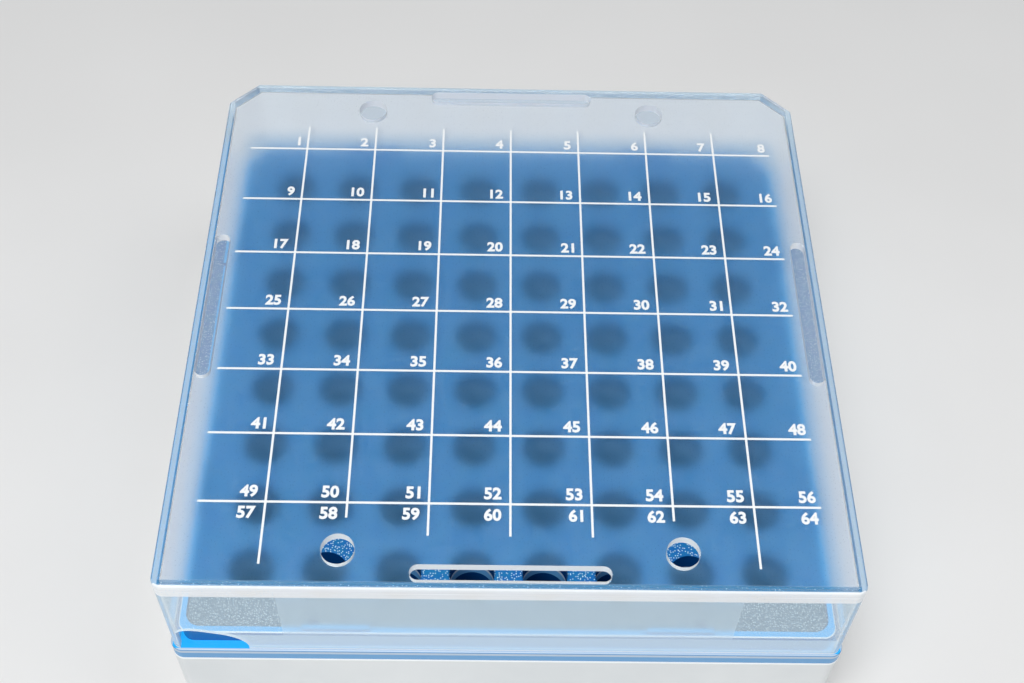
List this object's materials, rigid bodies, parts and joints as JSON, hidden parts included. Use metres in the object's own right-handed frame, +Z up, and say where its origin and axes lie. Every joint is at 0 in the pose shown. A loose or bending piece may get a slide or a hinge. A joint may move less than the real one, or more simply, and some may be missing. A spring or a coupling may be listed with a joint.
{
  "type": "cryogenic storage box",
  "caption": "Square two-inch freezer storage box with a grid of tube wells in a blue tray under a clear lift-off lid printed with a numbered grid.",
  "frame": {"origin": "centre of the box's underside", "axes": "+Z up, the way the lid lifts; -Y is the front, with the matte panel; the two clipped corners are at +Y"},
  "size_m": [0.134, 0.134, 0.0531],
  "materials": {
    "outer_box": "smooth, light grey",
    "tray": "blue, sparkling fine texture on the plate",
    "clear_lid": "clear, top frosted on its underside",
    "ink": "white ink"
  },
  "bodies": {
    "box": {"base_box": "outer_box", "tray_frame": "tray", "well_row_1": "tray", "well_row_2": "tray", "well_row_3": "tray", "well_row_4": "tray", "well_row_5": "tray", "well_row_6": "tray", "well_row_7": "tray", "well_row_8": "tray"},
    "lid": {"lid": "clear_lid", "lid_print": "ink"}
  },
  "joints": [
    {"name": "lid_lift", "type": "slide", "parent": "box", "child": "lid", "axis": [0, 0, 1], "range_m": [0, 0.04]}
  ]
}
